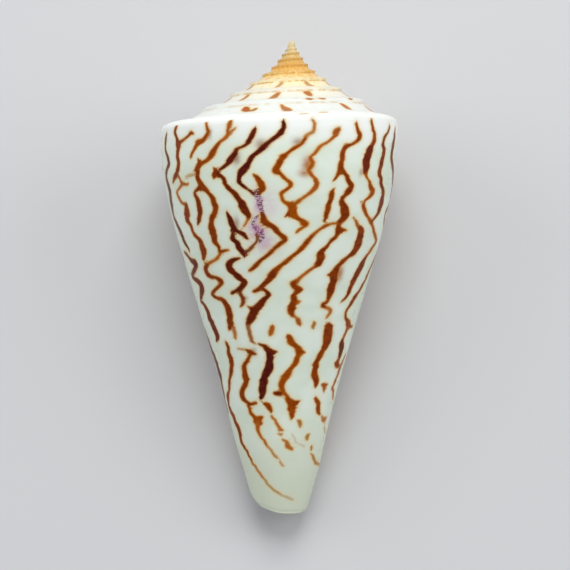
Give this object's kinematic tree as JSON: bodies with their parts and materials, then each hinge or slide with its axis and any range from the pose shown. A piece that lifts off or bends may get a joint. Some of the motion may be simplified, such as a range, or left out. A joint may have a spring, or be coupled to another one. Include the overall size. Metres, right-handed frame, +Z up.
{
  "type": "cone shell",
  "caption": "Glossy cone shell with a low stepped spire and a raised tip, lying aperture down, marked with brown zigzag lines.",
  "frame": {"origin": "middle of the bounding box, on the surface that the shell lies on", "axes": "+Z up, +Y from the base toward the apex, +X to the right for a viewer who looks down on the back of the shell with the apex away"},
  "size_m": [0.0354, 0.069, 0.033],
  "materials": {
    "shell_porcelain": "gloss"
  },
  "bodies": {
    "root": {"shell": "shell_porcelain"}
  },
  "joints": []
}
